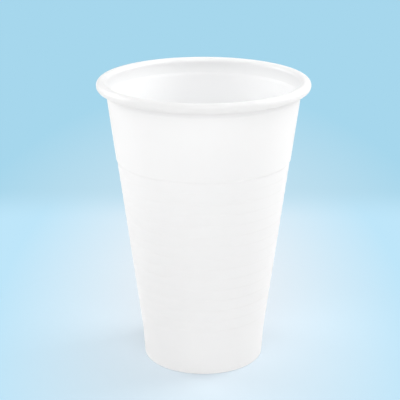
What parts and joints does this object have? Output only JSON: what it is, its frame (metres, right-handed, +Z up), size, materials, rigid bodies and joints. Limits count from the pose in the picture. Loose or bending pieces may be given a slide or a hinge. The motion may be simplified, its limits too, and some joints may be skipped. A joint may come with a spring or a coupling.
{
  "type": "disposable drinking cup",
  "caption": "Disposable white drinking cup, thermoformed in one piece, with a rolled rim, a finely ribbed tapered wall and a recessed base.",
  "frame": {"origin": "centre of the standing ring, on the surface that the cup stands on", "axes": "+Z up along the cup's axis, from the foot to the rim; the cup is round, so X and Y are free"},
  "size_m": [0.0702, 0.0702, 0.097],
  "materials": {
    "cup_plastic": "thin white thermoformed polystyrene, smooth and glossy, letting a little light through"
  },
  "bodies": {
    "root": {"cup": "cup_plastic"}
  },
  "joints": []
}
